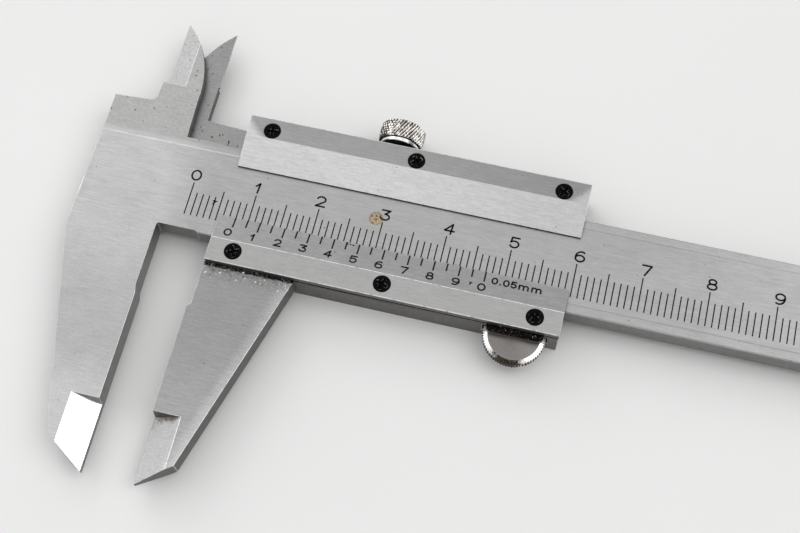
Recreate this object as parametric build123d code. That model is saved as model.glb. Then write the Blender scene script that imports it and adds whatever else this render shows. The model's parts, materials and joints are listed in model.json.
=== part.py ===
from build123d import *

import os

os.makedirs("parts", exist_ok=True)

# Vernier caliper, 0-150 mm, with knife-edge outside jaws, inside jaws and a depth bar.
# Frame, in mm: X runs along the beam away from the jaws, Y across the beam towards the inside jaws,
# Z out of the scale face. The origin is the middle of the fixed outside jaw's measuring face.

# Jaw opening: as stored, and at the end stop.
opening = 8.1
max_opening = 152.0

# Blank that the beam and the fixed jaws are cut from.
blank = 3.5
front_z = blank / 2
back_z = -blank / 2
beam_low = 19.95
beam_width = 15.3
beam_top = beam_low + beam_width
beam_mid = beam_low + beam_width / 2
rail_width = 1.45
scale_recess = 0.1
recess_slope = 0.25
beam_edge = 0.2

# Running gaps between pieces that slide on each other, and round pieces in their holes.
gap = 0.03
side_gap = 0.05
hole_gap = 0.03

# How far a cutting tool runs past the material, and how far pieces of one solid overlap before joining.
over = 1.0

# Distance of a quarter round's middle from its two tangents, as a share of its radius.
arc_sag = 0.293

# Fixed head and outside jaw.
head_left = -13.9
head_corner = -13.55
head_top_left = 40.1
head_top_right = 40.4
head_foot = 17.0
jaw_tip = -19.0
jaw_back_low = -12.5
jaw_back_x = -6.45
jaw_nose_x = -5.45
jaw_nose = -15.2
face_top = 8.4
relief_end = 9.6
relief = 0.3
throat_top = beam_low + 0.25
throat_step_x = 6.1
throat_step = 0.3
throat_round = 0.4

# Knife edges on the outside jaws.
knife_width = 4.3
knife_drop = 2.4
knife_top = -8.4
knife_runout = 0.35

# Inside jaws: each is a blade half as thick as the blank.
blade_edge = -6.2
blade_tip = 55.8
blade_tip_land = 0.1
blade_root = -0.1
blade_straight_x = -0.35
blade_straight_top = 41.5
blade_bow_x = -1.75
blade_bow = 49.7
blade_arris = -3.0
blade_knife_low = 43.9
blade_land = 0.2
neck_x = -6.75
neck_round = 1.0
parting = 0.03

# Slider frame.
frame_setback = 0.8
frame_length = 54.0
frame_left = opening + frame_setback
frame_right = frame_left + frame_length
frame_mid = (frame_left + frame_right) / 2
frame_low = 15.65
frame_top = 40.8
frame_front = front_z + gap
frame_back = -3.55
channel_low = beam_low - gap
channel_top = beam_top + side_gap
channel_back = back_z - side_gap
edge_break = 0.15

# Moving outside jaw, part of the slider frame.
mover_relief = 0.55
mover_face_top = 8.1
mover_relief_end = 8.7
mover_root_x = opening + 14.9
mover_root = 16.7
mover_nose_x = opening + 5.4
mover_nose = -15.5
mover_chin_x = opening + 4.6
mover_chin = -16.1

# Moving inside jaw, part of the slider frame.
mover_edge = blade_edge + opening
mover_edge_low = 45.7
mover_edge_relief = 0.25
shoulder_left = 39.6
shoulder_right = 39.2

# Plates on the front of the slider.
plate_top = frame_front + 1.12
vernier_left = frame_left - 0.1
vernier_right = frame_right + 0.05
cover_left = frame_left + 0.2
cover_right = frame_right + 0.2
vernier_toe = 23.5
vernier_bevel = 19.42
vernier_toe_height = 0.2
cover_toe = 32.1
cover_bevel = 37.35
cover_toe_height = 0.25
plate_edge = 0.08

# Countersunk plate screws, three to a plate; each row is given by X and Y of its middle screw.
screw_pitch = 23.1
screw_rows = {
    "vernier_plate_screws": (frame_mid - 0.12, 17.75),
    "upper_plate_screws": (frame_mid + 0.17, 38.7),
}
screw_head_r = 1.35
screw_shank_r = 0.8
screw_head_depth = 0.6
screw_length = 2.0
screw_sink = 0.02
cross_length = 1.5
cross_width = 0.36
cross_depth = 0.4

# Gib strip and its two set screws.
gib_length = 51.0
gib_thickness = 1.05
gib_height = 3.0
gib_room = 0.3
gib_top = beam_top + gap + gib_thickness
gib_pocket_top = gib_top + gib_room
gib_end_gap = 0.2
gib_screw_offset = 16.9
gib_screw_r = 1.0
gib_screw_sink = 0.5
slot_width = 0.35
slot_depth = 0.5

# Lock screw and the brass pad under it.
lock_x = opening + 24.45
lock_stem_r = 1.5
lock_hole_gap = 0.05
lock_knob_r = 3.6
lock_knob_low = 42.1
lock_knob_top = 45.05
lock_collar_r = 3.1
lock_collar_low = 41.5
lock_knob_chamfer = 0.35
pad_free = 0.05
pad_length = 1.2
pad_r = 1.4

# Thumb wheel, rolling on the lower edge of the beam.
wheel_r = 4.7
wheel_x = opening + 48.35
wheel_y = beam_low - gap - wheel_r
wheel_front = 0.65
wheel_back = -1.15
wheel_chamfer = 0.58
wheel_room = 0.25
wheel_side_gap = 0.1
pin_r = 0.4
pin_seat = -2.9
washer_r = 1.6
washer_thickness = 0.2
lug_low = 14.55
lug_half = 4.3
lug_round = 0.8

# Depth bar, in a groove along the back of the beam.
beam_right = 216.0
groove_width = 4.0
groove_depth = 1.5
groove_left = 33.0
bar_width = 3.6
bar_room = 0.1
bar_front = back_z + groove_depth - bar_room
bar_back = back_z + side_gap
bar_left = opening + 35.9
bar_right = beam_right + opening
foot_length = 16.0
bar_tip_length = 3.0
bar_tip_width = 1.8
rivet_r = 0.7
rivet_inset = 4.0
rivet_reach = -1.0

# End stop on the back of the beam.
stop_left = frame_right - opening + max_opening
stop_length = 6.5
stop_width = 12.8
stop_thickness = 1.0
stop_screw_offset = 4.2
stop_head_r = 1.6
stop_shank_r = 1.0
stop_head_depth = 0.6
stop_screw_length = 3.4


def block(x0, x1, y0, y1, z0, z1):
    """Box between two corners."""
    return Pos((x0 + x1) / 2, (y0 + y1) / 2, (z0 + z1) / 2) * Box(x1 - x0, y1 - y0, z1 - z0)


def slab(outline, z0, z1):
    """Plate with a closed outline in the XY plane, from z0 up to z1."""
    return extrude(Pos(0, 0, z0) * make_face(outline), amount=z1 - z0, dir=(0, 0, 1))


def rod_z(x, y, r, z0, z1):
    """Round bar along Z."""
    return Pos(x, y, (z0 + z1) / 2) * Cylinder(r, z1 - z0)


def rod_y(x, r, y0, y1):
    """Round bar along Y at mid-thickness."""
    return Pos(x, (y0 + y1) / 2, 0) * Rot(90, 0, 0) * Cylinder(r, y1 - y0)


def wedge(points, axis_low, axis_high):
    """Prism with an outline in the XZ plane, running along Y."""
    face = make_face(Polyline([(x, axis_low, z) for x, z in points], close=True))
    return extrude(face, amount=axis_high - axis_low, dir=(0, 1, 0))


def profile_x(points, x0, x1):
    """Prism with an outline in the YZ plane, running along X."""
    face = make_face(Polyline([(x0, y, z) for y, z in points], close=True))
    return extrude(face, amount=x1 - x0, dir=(1, 0, 0))


def countersunk(x, y, top, head_r, shank_r, head_depth, length, grow):
    """Countersunk screw blank pointing down -Z; grow makes the matching hole."""
    head = Cone(shank_r + grow, head_r + grow, head_depth)
    shank = rod_z(x, y, shank_r + grow, top - length - grow, top)
    return Pos(x, y, top - head_depth / 2) * head + shank


def cross_recess(x, y, top):
    """Cross-shaped driver recess in a screw head that faces +Z."""
    across = block(
        x - cross_length / 2, x + cross_length / 2,
        y - cross_width / 2, y + cross_width / 2, top - cross_depth, top + gap,
    )
    along = block(
        x - cross_width / 2, x + cross_width / 2,
        y - cross_length / 2, y + cross_length / 2, top - cross_depth, top + gap,
    )
    return across + along


def plate_screw_xs(middle):
    """X of the three screws of a row whose middle screw is given."""
    return [middle - screw_pitch, middle, middle + screw_pitch]


def plate_screw_holes(row):
    """Countersunk holes for one row of plate screws, through plate and frame."""
    middle, y = row
    holes = [
        countersunk(x, y, plate_top, screw_head_r, screw_shank_r,
                    screw_head_depth, screw_length, hole_gap)
        for x in plate_screw_xs(middle)
    ]
    return holes[0] + holes[1] + holes[2]


# ------------------------------------------------------------------ beam with the fixed jaws
def beam_blank():
    """Full-thickness blank: beam, head and fixed outside jaw."""
    outline = Polyline(
        (beam_right, beam_low),
        (beam_right, beam_top),
        (head_corner, beam_top),
        (head_left, head_foot),
        (jaw_back_x, jaw_back_low),
        (jaw_nose_x, jaw_nose),
        (0, jaw_tip),
        (0, face_top),
        (-relief, relief_end),
        (-relief, throat_top - throat_round),
    )
    throat = ThreePointArc(
        (-relief, throat_top - throat_round),
        (-relief + throat_round * arc_sag, throat_top - throat_round * arc_sag),
        (-relief + throat_round, throat_top),
    )
    underside = Polyline(
        (-relief + throat_round, throat_top),
        (throat_step_x - throat_step, throat_top),
        (throat_step_x, beam_low),
        (beam_right, beam_low),
    )
    return slab(outline + throat + underside, back_z, front_z)


def blade_outline(edge_low):
    """Fixed inside blade from the beam's top edge to its tip, measuring edge on the left."""
    side = Polyline(
        (neck_x, beam_top - rail_width),
        (blade_root, beam_top - rail_width),
        (blade_root, beam_top),
        (blade_straight_x, blade_straight_top),
    )
    bow = ThreePointArc(
        (blade_straight_x, blade_straight_top),
        (blade_bow_x, blade_bow),
        (blade_edge + blade_tip_land, blade_tip),
    )
    edge = Polyline(
        (blade_edge + blade_tip_land, blade_tip),
        (blade_edge, blade_tip - blade_tip_land),
        (blade_edge, edge_low),
        (neck_x, edge_low),
        (neck_x, beam_top - rail_width),
    )
    return side + bow + edge


def blade_knife():
    """Wedge ground off the front of the fixed inside blade."""
    land = parting + blade_land
    low = [(blade_arris, front_z), (blade_edge - gap, land), (blade_edge - over, land),
           (blade_edge - over, front_z + over), (blade_arris, front_z + over)]
    return wedge(low, blade_knife_low, blade_tip + over)


def outside_knife(direction, x_face):
    """Wedge ground off the front of an outside jaw; direction is +1 where the jaw lies at -X."""
    tail = direction * knife_width
    points = [
        (x_face - tail, front_z),
        (x_face, front_z - knife_drop),
        (x_face + direction * over, front_z - knife_drop),
        (x_face + direction * over, front_z + over),
        (x_face - tail, front_z + over),
    ]
    body = wedge(points, jaw_tip - over, knife_top - knife_runout)
    end = wedge(points, knife_top - knife_runout, knife_top)
    slope = Plane(
        origin=(x_face, knife_top, front_z),
        x_dir=(1, 0, 0),
        z_dir=(0, knife_drop, -knife_runout),
    )
    return body + split(end, bisect_by=slope, keep=Keep.BOTTOM)


def scale_bed():
    """Shallow bed between the rails that the scale is cut in, with sloping sides."""
    low = beam_low + rail_width
    high = beam_top - rail_width
    floor = front_z - scale_recess
    points = [
        (low - recess_slope / 2, front_z),
        (low + recess_slope / 2, floor),
        (high - recess_slope / 2, floor),
        (high + recess_slope / 2, front_z),
        (high + recess_slope / 2, front_z + over),
        (low - recess_slope / 2, front_z + over),
    ]
    return profile_x(points, head_left - over, beam_right + over)


def edge_wedge(y, inward):
    """Chamfer tool along one front edge of the beam, clear of the head."""
    points = [
        (y + inward * beam_edge, front_z + gap),
        (y - inward * gap, front_z - beam_edge),
        (y - inward * over, front_z - beam_edge),
        (y - inward * over, front_z + gap),
    ]
    return profile_x(points, throat_step_x, beam_right + over)


def head_top():
    """Front-half plate above the beam that carries the fixed inside blade."""
    round_arc = ThreePointArc(
        (neck_x, head_top_right + neck_round),
        (neck_x - neck_round * arc_sag, head_top_right + neck_round * arc_sag),
        (neck_x - neck_round, head_top_right),
    )
    rest = Polyline(
        (neck_x - neck_round, head_top_right),
        (head_corner, head_top_left),
        (head_corner, beam_top - rail_width),
        (neck_x, beam_top - rail_width),
        (neck_x, head_top_right + neck_round),
    )
    return slab(round_arc + rest, parting, front_z)


def main_beam():
    """Beam, head, fixed outside jaw and fixed inside jaw, all one piece."""
    beam = beam_blank()
    beam += head_top()
    beam += slab(blade_outline(blade_knife_low), parting, front_z)
    beam -= blade_knife()
    beam -= outside_knife(1, 0)
    beam -= scale_bed()
    beam -= edge_wedge(beam_low, 1)
    beam -= edge_wedge(beam_top, -1)
    beam -= block(
        groove_left, beam_right + over,
        beam_mid - groove_width / 2, beam_mid + groove_width / 2, back_z - over, back_z + groove_depth,
    )
    for y in stop_screw_ys():
        beam -= rod_z(stop_x(), y, stop_shank_r + hole_gap, back_z - over, stop_screw_end() + hole_gap)
    return beam


# ------------------------------------------------------------------ slider frame with the moving jaws
def moving_outside_jaw():
    """Moving outside jaw, measuring face towards -X."""
    outline = Polyline(
        (opening, jaw_tip),
        (mover_chin_x, mover_chin),
        (mover_nose_x, mover_nose),
        (mover_root_x, mover_root),
        (frame_left, mover_root),
        (opening + mover_relief, frame_low),
        (opening + mover_relief, mover_relief_end),
        (opening, mover_face_top),
        close=True,
    )
    return slab(outline, back_z, front_z) - outside_knife(-1, opening)


def moving_inside_jaw():
    """Moving inside blade behind the fixed one, with the arm that joins it to the frame."""
    blade = Pos(2 * blade_edge, 0, 0) * mirror(blade_outline(mover_edge_low), about=Plane.YZ)
    blade = slab(blade, back_z, -parting)
    blade = Pos(opening, 0, 0) * blade
    blade -= block(
        mover_edge - mover_edge_relief, mover_edge + over,
        beam_low, mover_edge_low, back_z - over, front_z,
    )
    land = -parting - blade_land
    arris = 2 * blade_edge - blade_arris + opening
    knife = [(arris, back_z), (mover_edge + gap, land), (mover_edge + over, land),
             (mover_edge + over, back_z - over), (arris, back_z - over)]
    blade -= wedge(knife, mover_edge_low, blade_tip + over)
    arm = Polyline(
        (mover_edge - mover_edge_relief - over, channel_top),
        (frame_left + over, channel_top),
        (frame_left + over, shoulder_right),
        (mover_edge - mover_edge_relief, shoulder_left),
        (mover_edge - mover_edge_relief - over, shoulder_left),
        close=True,
    )
    blade += slab(arm, back_z, -parting)
    below = block(head_left, frame_right, beam_low, channel_top, back_z - over, front_z + over)
    return blade - below


def wheel_pocket():
    """Slot in the lower wall that the thumb wheel turns in."""
    low = wheel_back - washer_thickness - wheel_side_gap
    high = wheel_front + wheel_side_gap
    return rod_z(wheel_x, wheel_y, wheel_r + wheel_room, low, high)


def wheel_lug():
    """Lug below the lower wall that holds the ends of the wheel's pin."""
    lug = block(wheel_x - lug_half, wheel_x + lug_half, lug_low, frame_low + over, frame_back, frame_front)
    corners = lug.edges().filter_by(Axis.Z).group_by(Axis.Y)[0]
    return fillet(corners, lug_round)


def slider_frame():
    """Channel that wraps the beam's back and edges, with both moving jaws."""
    frame = block(frame_left, frame_right, frame_low, frame_top, frame_back, frame_front)
    frame = chamfer(frame.edges().filter_by(Axis.X).group_by(Axis.Z)[0], edge_break)
    frame += wheel_lug()
    frame -= block(
        frame_left - over, frame_right + over, channel_low, channel_top, channel_back, frame_front + over,
    )
    frame -= block(
        frame_mid - gib_length / 2 - gib_end_gap, frame_mid + gib_length / 2 + gib_end_gap,
        beam_mid, gib_pocket_top, channel_back, frame_front + over,
    )
    frame += moving_outside_jaw()
    frame += moving_inside_jaw()
    for row in screw_rows.values():
        frame -= plate_screw_holes(row)
    for x in gib_screw_xs():
        frame -= rod_y(x, gib_screw_r + hole_gap, beam_mid, frame_top + over)
    frame -= rod_y(lock_x, lock_stem_r + lock_hole_gap, beam_mid, frame_top + over)
    frame -= wheel_pocket()
    frame -= rod_z(wheel_x, wheel_y, pin_r + hole_gap, pin_seat - hole_gap, frame_front + over)
    for x in rivet_xs():
        frame -= rod_z(x, beam_mid, rivet_r + hole_gap, frame_back - over, channel_back + gap)
    return frame


# ------------------------------------------------------------------ plates and their screws
def vernier_plate():
    """Lower plate, bevelled down to the scale it is read against."""
    points = [
        (frame_low, frame_front),
        (vernier_toe, frame_front),
        (vernier_toe, frame_front + vernier_toe_height),
        (vernier_bevel, plate_top),
        (frame_low + plate_edge, plate_top),
        (frame_low, plate_top - plate_edge),
    ]
    plate = profile_x(points, vernier_left, vernier_right)
    return plate - plate_screw_holes(screw_rows["vernier_plate_screws"])


def upper_plate():
    """Upper plate, with a wide bevel facing the scale."""
    points = [
        (frame_top, frame_front),
        (cover_toe, frame_front),
        (cover_toe, frame_front + cover_toe_height),
        (cover_bevel, plate_top),
        (frame_top - plate_edge, plate_top),
        (frame_top, plate_top - plate_edge),
    ]
    plate = profile_x(points, cover_left, cover_right)
    return plate - plate_screw_holes(screw_rows["upper_plate_screws"])


def plate_screws(row):
    """Three cross-recessed countersunk screws of one plate."""
    middle, y = row
    screws = []
    for x in plate_screw_xs(middle):
        screw = countersunk(x, y, plate_top - screw_sink, screw_head_r, screw_shank_r,
                            screw_head_depth, screw_length - screw_sink, 0)
        screws.append(screw - cross_recess(x, y, plate_top - screw_sink))
    return Compound(children=screws)


# ------------------------------------------------------------------ gib and lock
def gib_strip():
    """Spring strip between the beam's top edge and the frame's upper wall."""
    return block(
        frame_mid - gib_length / 2, frame_mid + gib_length / 2,
        beam_top + gap, gib_top, -gib_height / 2, gib_height / 2,
    )


def gib_screw_xs():
    """X of the two gib screws."""
    return [frame_mid - gib_screw_offset, frame_mid + gib_screw_offset]


def gib_screw(x):
    """Slotted set screw that bears on the gib strip."""
    top = frame_top - gib_screw_sink
    screw = rod_y(x, gib_screw_r, gib_top, top)
    return screw - block(
        x - gib_screw_r - over, x + gib_screw_r + over, top - slot_depth, top + over,
        -slot_width / 2, slot_width / 2,
    )


def lock_pad():
    """Brass pad that the lock screw presses on the gib strip."""
    low = gib_top + pad_free
    return rod_y(lock_x, pad_r, low, low + pad_length)


def lock_screw():
    """Round-headed lock screw with a collar under its grip."""
    tip = gib_top + pad_free + pad_length
    knob = rod_y(lock_x, lock_knob_r, lock_knob_low, lock_knob_top)
    knob = chamfer(knob.edges().filter_by(GeomType.CIRCLE), lock_knob_chamfer)
    return knob + rod_y(lock_x, lock_collar_r, lock_collar_low, lock_knob_low) + rod_y(
        lock_x, lock_stem_r, tip, lock_knob_low
    )


# ------------------------------------------------------------------ thumb wheel
def thumb_wheel():
    """Wheel whose rim rolls on the beam's lower edge."""
    wheel = rod_z(wheel_x, wheel_y, wheel_r, wheel_back, wheel_front)
    wheel = chamfer(wheel.edges().filter_by(GeomType.CIRCLE), wheel_chamfer)
    return wheel - rod_z(wheel_x, wheel_y, pin_r + side_gap, wheel_back - over, wheel_front + over)


def thumb_wheel_pin():
    """Pin that the thumb wheel turns on."""
    return rod_z(wheel_x, wheel_y, pin_r, pin_seat, frame_front)


def thumb_wheel_washer():
    """Thin washer behind the thumb wheel."""
    low = wheel_back - washer_thickness
    ring = rod_z(wheel_x, wheel_y, washer_r, low, wheel_back)
    return ring - rod_z(wheel_x, wheel_y, pin_r + side_gap, low - over, wheel_back + over)


# ------------------------------------------------------------------ depth bar
def rivet_xs():
    """X of the two rivets that hold the depth bar's foot."""
    return [bar_left + rivet_inset, bar_left + foot_length - rivet_inset]


def depth_bar():
    """Bar that stands out of the beam's end as far as the jaws are open."""
    half = bar_width / 2
    bar = block(bar_left, bar_right, beam_mid - half, beam_mid + half, bar_back, bar_front)
    bar += block(
        bar_left, bar_left + foot_length,
        beam_mid - half, beam_mid + half, channel_back, bar_front,
    )
    bar -= block(
        bar_right - bar_tip_length, bar_right + over,
        beam_mid - half - over, beam_mid + half - bar_tip_width, back_z - over, front_z,
    )
    for x in rivet_xs():
        bar -= rod_z(x, beam_mid, rivet_r + hole_gap, channel_back - over, rivet_reach + hole_gap)
    return bar


def depth_bar_rivet(x):
    """Rivet through the frame's back wall into the foot of the depth bar."""
    return rod_z(x, beam_mid, rivet_r, frame_back, rivet_reach)


# ------------------------------------------------------------------ end stop
def stop_x():
    """X of the end stop's screws."""
    return stop_left + stop_length / 2


def stop_screw_ys():
    """Y of the end stop's two screws, one each side of the groove."""
    return [beam_mid - stop_screw_offset, beam_mid + stop_screw_offset]


def stop_back():
    """Z of the end stop's back face."""
    return back_z - stop_thickness


def stop_screw_end():
    """Z that the end stop's screws reach."""
    return stop_back() + screw_sink + stop_screw_length


def stop_screw_blank(y, grow):
    """Countersunk screw that enters the end stop from behind; grow makes its hole."""
    screw = countersunk(stop_x(), -y, -stop_back() - screw_sink + grow, stop_head_r, stop_shank_r,
                        stop_head_depth, stop_screw_length, grow)
    return Rot(180, 0, 0) * screw


def end_stop_plate():
    """Plate on the back of the beam that stops the slider and keeps the depth bar in its groove."""
    plate = block(
        stop_left, stop_left + stop_length,
        beam_mid - stop_width / 2, beam_mid + stop_width / 2, stop_back(), back_z,
    )
    for y in stop_screw_ys():
        plate -= stop_screw_blank(y, hole_gap)
    return plate


def end_stop_screw(y):
    """Slotted countersunk screw of the end stop."""
    screw = stop_screw_blank(y, 0)
    low = stop_back() + screw_sink
    return screw - block(
        stop_x() - stop_head_r - over, stop_x() + stop_head_r + over,
        y - slot_width / 2, y + slot_width / 2, low - over, low + cross_depth,
    )


parts = {
    "main_beam": main_beam(),
    "end_stop_plate": end_stop_plate(),
    "end_stop_screw_lower": end_stop_screw(stop_screw_ys()[0]),
    "end_stop_screw_upper": end_stop_screw(stop_screw_ys()[1]),
    "slider_frame": slider_frame(),
    "vernier_plate": vernier_plate(),
    "upper_plate": upper_plate(),
    "gib_strip": gib_strip(),
    "gib_screw_front": gib_screw(gib_screw_xs()[0]),
    "gib_screw_rear": gib_screw(gib_screw_xs()[1]),
    "lock_pad": lock_pad(),
    "lock_screw": lock_screw(),
    "thumb_wheel": thumb_wheel(),
    "thumb_wheel_pin": thumb_wheel_pin(),
    "thumb_wheel_washer": thumb_wheel_washer(),
    "depth_bar": depth_bar(),
    "depth_bar_rivet_front": depth_bar_rivet(rivet_xs()[0]),
    "depth_bar_rivet_rear": depth_bar_rivet(rivet_xs()[1]),
}
for name, row in screw_rows.items():
    parts[name] = plate_screws(row)

for name, shape in parts.items():
    export_step(shape, f"parts/{name}.step")
    print(f"{name}: {shape.volume:.2f} mm3")
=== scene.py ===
import json
import math
from math import cos, hypot, pi, radians, sin

import bmesh
import bpy
from mathutils import Matrix, Vector

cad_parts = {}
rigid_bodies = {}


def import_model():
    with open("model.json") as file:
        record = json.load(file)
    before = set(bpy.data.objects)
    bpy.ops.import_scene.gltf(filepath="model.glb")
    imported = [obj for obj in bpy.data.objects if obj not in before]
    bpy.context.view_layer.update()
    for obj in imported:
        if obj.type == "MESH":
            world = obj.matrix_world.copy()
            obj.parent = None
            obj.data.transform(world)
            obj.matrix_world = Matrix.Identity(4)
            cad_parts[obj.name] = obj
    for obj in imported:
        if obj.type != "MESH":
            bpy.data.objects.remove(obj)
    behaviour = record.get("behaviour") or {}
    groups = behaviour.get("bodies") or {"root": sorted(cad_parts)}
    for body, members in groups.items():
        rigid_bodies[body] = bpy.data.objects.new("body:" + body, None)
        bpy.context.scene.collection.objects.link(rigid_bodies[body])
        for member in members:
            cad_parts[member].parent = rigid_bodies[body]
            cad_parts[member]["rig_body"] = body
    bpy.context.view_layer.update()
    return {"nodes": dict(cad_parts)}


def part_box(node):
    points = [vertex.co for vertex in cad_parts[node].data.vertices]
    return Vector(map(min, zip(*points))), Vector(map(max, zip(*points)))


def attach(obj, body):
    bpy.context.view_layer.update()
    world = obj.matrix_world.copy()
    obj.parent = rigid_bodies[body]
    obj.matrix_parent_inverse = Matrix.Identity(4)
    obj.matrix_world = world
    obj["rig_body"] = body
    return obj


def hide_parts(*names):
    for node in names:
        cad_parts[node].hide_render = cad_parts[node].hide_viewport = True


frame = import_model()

# Lengths are in millimetres, in the CAD frame, and become metres where a mesh is made.
MM = 0.001
scene = bpy.context.scene


def cad_box(node):
    """Lowest and highest corner of a CAD node, in millimetres."""
    low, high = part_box(node)
    return low / MM, high / MM


blank_half = cad_box("main_beam")[1].z
front_z = cad_box("slider_frame")[1].z
vernier_low, vernier_high = cad_box("vernier_plate")
knob_low, knob_high = cad_box("lock_screw")
wheel_low, wheel_high = cad_box("thumb_wheel")

# The jaws stand this far open at rest.
opening = 8.1

# Scale on the beam: where its lines start, and their lengths.
scale_bed = blank_half - 0.1
scale_zero = 3.3
scale_foot = 22.5
scale_lines = 190
line_width = 0.19
short_line = 3.83
middle_line = 4.96
long_line = 5.46
beam_digit_foot = 28.27
beam_digit_height = 1.9
beam_digit_width = 1.86
beam_digit_shifts = (0.0, -0.05, 0.0, 0.15, 0.2, 0.25, 0.25, 0.3, 0.15, 0.2)
beam_stroke = 0.29

# Vernier scale on the bevel of the lower plate.
bevel_toe_y = vernier_high.y
bevel_toe_z = vernier_low.z + 0.2
bevel_heel_y = 19.42
bevel_rise = (vernier_high.z - bevel_toe_z) / (bevel_toe_y - bevel_heel_y)
vernier_zero = scale_zero + opening
vernier_pitch = 1.95
vernier_divisions = 20
vernier_line_width = 0.25
vernier_long_foot = 21.72
vernier_short_foot = 22.1
vernier_line_gap = 0.02
vernier_digit_foot = 20.02
vernier_digit_height = 1.36
vernier_digit_width = 1.42
vernier_digit_shift = -0.42
vernier_digit_pitch = 1.9625
vernier_stroke = 0.27
legend = "0.05mm"
legend_left = 51.4
legend_foot = 21.6
legend_height = 1.24
legend_width = 1.12
legend_stroke = 0.27

# Filled marks stand from just under a surface to just over it.
mark_depth = 0.03
mark_height = 0.004

# Blots of old ink: x, y, half width, half length, and the phase of the ragged outline.
blot_points = 28
scale_blots = ((7.35, 25.55, 0.30, 0.22, 0.4), (7.15, 25.15, 0.10, 0.16, 2.0), (24.9, 25.1, 0.10, 0.10, 1.1))
bevel_blots = (
    (48.55, 21.05, 0.22, 0.19, 0.9), (48.45, 20.78, 0.10, 0.16, 0.2),
    (29.0, 23.15, 0.16, 0.20, 1.7), (29.5, 23.2, 0.13, 0.10, 0.5), (30.0, 23.1, 0.16, 0.12, 3.1),
)
arm_blots = (
    (6.05, 36.5, 0.09, 0.55, 0.3), (6.3, 35.75, 0.20, 0.12, 1.9), (3.2, 36.9, 0.16, 0.13, 0.8),
    (4.3, 37.5, 0.10, 0.16, 2.6), (1.4, 37.6, 0.11, 0.10, 1.3),
)
# Front of the moving inside jaw and its arm, just behind the middle of the blank.
arm_face = -0.03

# Meshes from the CAD: points this close are one, and faces this nearly level are one.
weld_distance = 0.002
level_angle = radians(0.5)

# Rounding of the machined edges: only edges at least this sharp and this long are rounded.
beam_round = 0.06
slider_round = 0.07
edge_round = 0.05
small_round = 0.03
edge_segments = 3
edge_angle = radians(24)
edge_shortest = 0.4
# The inside jaws begin here, and the front edges of their blades are less worn.
blade_foot = 40.0
blade_wear = 0.35

# Shading: beside a rounded strip an edge stays crisp only above smooth_angle, elsewhere above edge_angle,
# and between two faces of at least the broad area above crease_angle.
smooth_angle = radians(34)
crease_angle = radians(3)
broad_face = 8.0

# Screw heads, each with a driver cross whose recess tapers from a lip.
screw_head = 1.35
screw_shank = 0.8
screw_length = 1.98
screw_head_depth = 0.6
screw_steps = 96
cross_reach = 0.86
cross_half = 0.20
cross_lip = 0.11
screw_turns = {"vernier_plate_screws": (24, -18, 61), "upper_plate_screws": (8, 37, -29)}

# Lock screw: knurled grip, collar and threaded stem.
lock_x = (knob_low.x + knob_high.x) / 2
lock_z = (knob_low.z + knob_high.z) / 2
grip_radius = (knob_high.x - knob_low.x) / 2
grip_foot = 42.1
grip_top = knob_high.y
grip_chamfer = 0.24
grip_rows = 48
collar_foot = 41.5
collar_radius = 3.1
stem_foot = knob_low.y
stem_radius = 1.5
thread_pitch = 0.5
thread_depth = 0.22
thread_steps = 8
knurl_count = 42
knurl_steps = 8
knurl_rise = 0.92
knurl_depth = 0.46
knurl_faint = 0.6
knurl_flat = 0.12

# Thumb wheel, and its shoulders: share of the way in from the rim, and distance below the face.
wheel_x = (wheel_low.x + wheel_high.x) / 2
wheel_y = (wheel_low.y + wheel_high.y) / 2
wheel_radius = (wheel_high.x - wheel_low.x) / 2
wheel_bore = 0.45
wheel_teeth = 66
tooth_steps = 6
tooth_depth = 0.16
tooth_roundness = 0.7
wheel_slope = 0.72
wheel_fall = 0.36
shoulder_slopes = ((1.0, 0.0), (0.75, 0.07), (0.5, 0.16), (0.25, 0.25), (0.05, wheel_fall * 0.9))

# Directions of the faces that are ground on their own.
fixed_jaw_bevel = (0.487, 0.0, 0.873)
moving_jaw_bevel = (-0.487, 0.0, 0.873)
blade_bevel = (-0.47, 0.0, 0.883)
bed_side = (0.0, -0.371, 0.928)
vernier_bevel = (0.0, 0.213, 0.977)
cover_bevel = (0.0, -0.1635, 0.9865)

# Height of the stain on the moving jaw's knife.
knife_top = -8.4

# Room light: direction, where a soft lobe starts and is full (as a cosine), and its strength.
dome_front = 0.10
dome_back = 0.30
dome_lobes = (
    ((-0.05, 0.42, 0.90), 0.50, 1.0, 0.62),
    ((-0.116, 0.08, 0.989), 0.86, 1.0, 0.50),
    ((-0.88, 0.08, 0.47), 0.78, 0.93, 0.85),
    ((0.62, 0.03, 0.78), 0.87, 0.96, 1.7),
    ((0.0, -0.88, 0.47), 0.50, 1.0, 0.62),
    ((-0.20, 0.96, 0.20), 0.80, 1.0, 0.40),
)
key_place = (-330.0, 420.0, 300.0)
key_target = (40.0, 20.0, 0.0)
key_size = 260.0
key_power = 0.5

# Floor and camera.
floor_middle = (100.0, 20.0)
floor_reach = 9000.0
floor_cells = 48
camera_place = (59.85, -51.43, 187.81)
camera_target = (37.40, 22.18, 0.0)
camera_roll = -3.54
camera_lens = 60.34


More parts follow.
